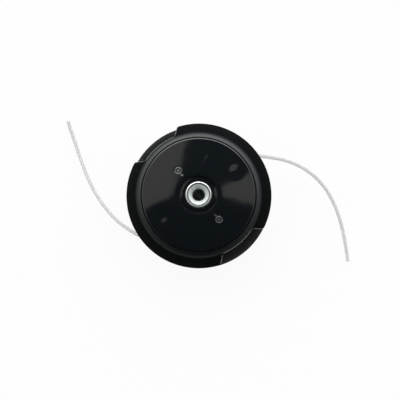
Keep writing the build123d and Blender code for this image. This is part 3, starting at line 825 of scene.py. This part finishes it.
# Spring washers and spring: stamped rings and a coil of drawn wire that lies flat at both ends.
# The upper washer bears on the cover's hub, and the coil closes up when the knob is tapped.
drawn, drawn_shader, at = start_finish("drawn_steel", Metallic=1.0)
die_lines = noise(stretched(at, 0.6, 0.6, 6.0), 2.0, 3.0)
feed(
    drawn_shader,
    Base_Color=mixed(die_lines, shade(0.42, 0.42, 0.43), shade(0.62, 0.62, 0.63)),
    Roughness=0.22 + die_lines * 0.2,
    Normal=relief(die_lines, 0.2, 0.02 * MM),
)
for node, body in (("lower_spring_washer", "spool"), ("upper_spring_washer", "spring_seat")):
    seat(dressed(node + "_stamped", node, drawn), body, "spring_steel", node)

coil_turns = 5.5
flat_turns = 0.75
coil_radius = 9.9
wire_radius = 0.75
wire_sides = 16
coil_low = 22.25
coil_high = 38.25
end_lift = 1.2 * wire_radius


def coiled(share):
    """Height of the coil's centre line: a slight slant all along, and the main rise between the ends."""
    rise = np.clip((share * coil_turns - flat_turns) / (coil_turns - 2 * flat_turns), 0, 1)
    return coil_low + rise * (coil_high - coil_low - 2 * end_lift) + 2 * end_lift * share


def capped(ring):
    """The disc that closes the wire's end: the ring, and its middle once for each of its points."""
    return np.concatenate([ring, ring.mean(axis=1, keepdims=True).repeat(wire_sides, axis=1)])


coil_share = np.linspace(0, 1, 440)[:, None]
wire_turn = np.radians(np.linspace(0, 360, wire_sides, endpoint=False))[None, :]
wire_out = coil_radius + wire_radius * np.cos(wire_turn)
wire_z = coiled(coil_share) + wire_radius * np.sin(wire_turn)
coil = swung(wire_out, wire_z, coil_share * coil_turns * 360)
spring = make_piece(
    "spring_coil",
    [(coil, True, 0), (capped(coil[:1]), True, 0), (capped(coil[-1:]), True, 0)],
    [drawn],
    crease=50,
)
seat(spring, "spring_seat", "spring_steel", "spring")
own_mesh(spring)


# Line windings: the stock of nylon line on the spool, wound side by side in both chambers.
# It is the same clear-white monofilament as the two tails.
wound, wound_shader, at = start_finish("wound_nylon", IOR=1.5, Transmission_Weight=0.12)
strands = noise(stretched(at, 0.3, 0.3, 3.0), 1.2, 3.0)
feed(
    wound_shader,
    Base_Color=mixed(strands, shade(0.60, 0.60, 0.58), shade(0.78, 0.78, 0.77)),
    Roughness=0.3 + strands * 0.15,
    Normal=relief(strands, 0.25, 0.05 * MM),
)
for node in ("lower_line_winding", "upper_line_winding"):
    seat(dressed(node + "_turns", node, wound), "spool", "line_nylon", node)


# Bump knob: a fluted nylon cup that the head is tapped with, clipped to the underside of the spool.
# Its face is worn grey by the ground, and the flange inside keeps it in the bottom cover.
knob_radius = 23.5
knob_round = 3.6
dish_rise = 0.8
flange_radius = 27.0
flange_foot = 12.6
flange_top = 15.0
cup_radius = 21.1
cup_floor = 3.0
post_out = 13.2
post_in = 11.0
post_top = 16.7
flute_count = 12
flute_radius = 3.0
flute_centre = 25.4
flute_blend = 0.25
no_flute = 40.0
foot_line = [(0, dish_rise), (11.2, dish_rise), (12.0, 0.0), (19.5, 0.0)]
inside_line = [
    (flange_radius, flange_foot),
    (flange_radius, flange_top),
    (cup_radius, flange_top),
    (cup_radius, cup_floor),
    (post_out, cup_floor),
    (post_out, post_top),
    (post_in, post_top),
    (post_in, cup_floor),
    (0, cup_floor),
]
foot_turn = np.radians(np.linspace(0, 90, 12))
knob_foot = rounded(foot_line, [0, 0.3, 0.4, 0])
knob_edge = np.column_stack(
    [knob_radius - knob_round + knob_round * np.sin(foot_turn), knob_round - knob_round * np.cos(foot_turn)]
)
knob_wall = np.column_stack([np.full(8, knob_radius), np.linspace(4.4, flange_foot, 8)])
knob_inside = rounded(inside_line, [0, 0.3, 0.3, 0.6, 0.6, 0.3, 0.3, 0.6, 0])
knob_outer = joined(knob_foot, knob_edge, knob_wall)
knob_angle = np.linspace(0, 360, 288, endpoint=False)[None, :]

# Flutes: the distance to each flute's round wall, blended softly with the plain wall, and none on the face
flute_pitch = 360 / flute_count
flute_off = np.radians((knob_angle + flute_pitch / 2) % flute_pitch - flute_pitch / 2)
flute_gap = np.maximum(flute_radius**2 - (flute_centre * np.sin(flute_off)) ** 2, 0)
flute = np.where(flute_gap > 0, flute_centre * np.cos(flute_off) - np.sqrt(flute_gap), no_flute)
plain_r = knob_outer[:, :1]
fluted_r = -flute_blend * np.log(np.exp(-plain_r / flute_blend) + np.exp(-flute / flute_blend))
in_flute = np.clip((plain_r - 18.0) / 1.5, 0, 1)
knob_r = plain_r + (np.minimum(fluted_r, plain_r) - plain_r) * in_flute
ledge = np.concatenate(
    [swung(knob_r[-1:], flange_foot, knob_angle), swung(flange_radius, flange_foot, knob_angle)]
)
worn, worn_shader, at = start_finish("worn_nylon", IOR=1.5)
grain = noise(at, 4.0, 2.0)
rings = noise(at.node("CombineXYZ", None, {0: from_axis(at) * 1.4}), 1.0, 4.0)
height = at.node("SeparateXYZ", None, {0: at}, out="Z")
wear = between(height, 2.6, 0.0) * between(rings + noise(at, 0.5, 4.0), 0.85, 1.15)
feed(
    worn_shader,
    Base_Color=mixed(wear, shade(0.014, 0.014, 0.015), shade(0.06, 0.06, 0.058)),
    Roughness=0.38 + grain * 0.12 + wear * 0.25,
    Normal=relief(grain * 0.6 + rings * wear, 0.5, 0.06 * MM),
)
knob = make_piece(
    "bump_knob_fluted",
    [
        (swung(knob_r, knob_outer[:, 1:], knob_angle), True, 0),
        (ledge, True, 0),
        (carried(knob_inside, knob_angle), True, 0),
    ],
    [worn],
)
seat(knob, "spool", "knob_plastic", "bump_knob")


# Line tails: clear-white nylon monofilament, 2.4 mm thick, cut off square at both ends.
# Each leaves its eyelet, bends round under the skirt and sinks to the ground.
nylon, nylon_shader, at = start_finish("clear_nylon", IOR=1.4, Transmission_Weight=0.8)
haze = noise(at, 0.5, 4.0)
nicks = between(noise(at, 1.8, 2.0), 0.66, 0.76)
feed(
    nylon_shader,
    Base_Color=mixed(haze, shade(0.68, 0.68, 0.675), shade(0.74, 0.74, 0.735)),
    Roughness=0.3 + haze * 0.1 + nicks * 0.1,
    Normal=relief(haze + nicks * 0.3, 0.1, 0.03 * MM),
)
line_diameter = 2.4
tails = {
    "right": (
        (30.95, 25.97, 22.0),
        0.130,
        [
            (28.7, 24.0, 22.0), (33.2, 27.9, 22.0), (40.3, 29.9, 21.6), (50.8, 28.8, 19.6),
            (62.6, 27.1, 15.9), (75.0, 22.4, 12.4), (86.0, 14.9, 9.2), (94.5, 4.9, 6.5),
            (100.7, -6.7, 4.2), (104.8, -19.1, 2.5), (107.0, -28.4, 1.5), (108.7, -38.8, 1.25),
            (109.8, -46.9, 1.25),
        ],
    ),
    "left": (
        (-30.95, -25.97, 22.0),
        0.125,
        [
            (-28.8, -24.2, 22.0), (-32.85, -27.57, 22.0), (-38.0, -29.2, 21.8), (-43.4, -28.6, 21.2),
            (-50.8, -24.3, 19.2), (-60.8, -17.1, 15.2), (-70.0, -7.0, 11.3), (-77.6, 4.3, 8.0),
            (-83.9, 16.6, 5.2), (-88.9, 29.7, 3.0), (-93.3, 42.2, 1.5), (-96.5, 51.6, 1.25),
            (-98.5, 57.6, 1.25),
        ],
    ),
}
for side, (mouth, length, route) in tails.items():
    curve = bpy.data.curves.new("line_tail_" + side + "_nylon", "CURVE")
    curve.dimensions = "3D"
    curve.bevel_depth = line_diameter / 2 * MM
    curve.bevel_resolution = 5
    curve.use_fill_caps = True
    spline = curve.splines.new("NURBS")
    spline.points.add(len(route) - 1)
    controls = np.column_stack([np.array(route) * MM, np.ones(len(route))])
    spline.points.foreach_set("co", controls.ravel())
    spline.order_u = 3
    spline.use_endpoint_u = True
    spline.resolution_u = 12
    curve.materials.append(nylon)
    tail = bpy.data.objects.new(curve.name, curve)
    bpy.context.scene.collection.objects.link(tail)
    seat(tail, "housing", "line_nylon", "line_tail_" + side)


# Studio: a white paper floor that the head stands on, in soft light with a dark gap overhead.
# The camera looks down almost along the shaft, from a little below the picture's middle.
scene = bpy.context.scene
scene.view_settings.view_transform = "Standard"

floor_drop = 0.2
floor_reach = np.array([-4.0, 4.0])
floor_points = np.stack(np.meshgrid(floor_reach, floor_reach, [-floor_drop * MM]), axis=-1).reshape(-1, 3)
floor_mesh = bpy.data.meshes.new("floor")
floor_mesh.from_pydata(floor_points.tolist(), [], [(0, 1, 3, 2)])
floor = bpy.data.objects.new("floor", floor_mesh)
scene.collection.objects.link(floor)
paper = bpy.data.materials.new("white_paper")
paper.use_nodes = True
sheet = Wire(paper.node_tree)
paper_shader = paper.node_tree.nodes["Principled BSDF"]
paper_shader.inputs["Roughness"].default_value = 0.9
paper_shader.inputs["Base Color"].default_value = shade(0.7, 0.7, 0.7)
paper_glow = 0.93


def ray_kind(wire, kind):
    """1 for rays of this kind, and 0 for others."""
    return wire.node("LightPath", out=kind)


def shown(wire):
    """1 for rays from the camera, from a gloss or through a clear body, and 0 for light itself."""
    seen = ray_kind(wire, "Is Camera Ray").math("MAXIMUM", ray_kind(wire, "Is Glossy Ray"))
    return seen.math("MAXIMUM", ray_kind(wire, "Is Transmission Ray"))


glow = sheet.node("Emission", None, {"Color": shade(1.0, 1.0, 1.0), "Strength": 1.0})
lit = Wire(paper.node_tree, paper_shader.outputs[0])
blend = sheet.node("MixShader", None, {0: shown(sheet) * paper_glow, 1: lit, 2: glow})
paper.node_tree.links.new(blend.socket, paper.node_tree.nodes["Material Output"].inputs["Surface"])
floor_mesh.materials.append(paper)

# The light is painted by direction: pale walls all round, palest at the back and darkest in front
world = bpy.data.worlds.new("studio")
scene.world = world
world.use_nodes = True
sky = Wire(world.node_tree)
toward = sky.node("TexCoord", out="Generated")
east, north, upward = [sky.node("SeparateXYZ", None, {0: toward}, out=axis) for axis in "XYZ"]
steep = upward.math("MAXIMUM", 0.02)
east_run = east.math("DIVIDE", steep)
north_run = north.math("DIVIDE", steep)
level = (east * east + north * north + 0.0001).math("SQRT")
behind = north.math("DIVIDE", level)
low = 0.35 + between(behind, 0.0, 0.8) * 0.65
tall = between(upward, 0.9, 0.72) * (low + between(upward, 0.1, 0.5) * (1 - low))
walls = tall * (1.1 + behind * 1.7 + behind * behind * 0.65)

# A box on the back wall, a strip above it that only glosses show, and two boxes overhead, left and right
back_strength = 0.6
strip_strength = 7.0
box_strength = 0.82
back_box = between(behind, 0.6, 0.8) * between(upward, 0.34, 0.5) * between(upward, 0.82, 0.74)
strip = (
    ray_kind(sky, "Is Glossy Ray")
    * between(behind, 0.55, 0.85)
    * between(upward, 0.78, 0.82)
    * between(upward, 0.92, 0.88)
)
left_box = (
    between(north_run * 0.373 - east_run, 0.169, 0.183)
    * between(north_run - east_run * 0.533, 0.124, 0.142)
    * between(upward, 0.6, 0.7)
)
right_box = (
    between(east_run, 0.098, 0.110)
    * between(east_run * 0.55 - north_run, -0.055, -0.043)
    * between(north_run + east_run * 0.3, 0.077, 0.089)
    * between(upward, 0.75, 0.85)
)
overhead = left_box + right_box
gap = 0.015 + between(north_run, -0.3, 0.4) * 0.085
studio = gap + walls + back_box * back_strength + strip * strip_strength + overhead * box_strength
white = (shown(sky) * between(upward, 0.2, 0.14)).math("MAXIMUM", ray_kind(sky, "Is Transmission Ray"))
strength = white + (1 - white) * studio
cast = mixed(overhead, shade(0.93, 1.0, 1.03), shade(1.0, 1.0, 0.9))
cast = mixed(white, cast, shade(1.0, 1.0, 1.0))
feed(world.node_tree.nodes["Background"], Strength=strength, Color=cast)

eye = Vector((14.0, -48.7, 831.5)) * MM
target = Vector((0.8, -3.1, 31.5)) * MM
sensor_width = 36.0
picture_width = 400
focal_pixels = 1118
camera_data = bpy.data.cameras.new("camera")
camera_data.sensor_width = sensor_width
camera_data.lens = sensor_width * focal_pixels / picture_width
camera_data.clip_start = 0.01
camera = bpy.data.objects.new("camera", camera_data)
scene.collection.objects.link(camera)
scene.camera = camera
back = (eye - target).normalized()
right = Vector((0.0, 1.0, 0.0)).cross(back).normalized()
turn = Matrix((right, back.cross(right), back)).transposed()
camera.matrix_world = Matrix.Translation(eye) @ turn.to_4x4()
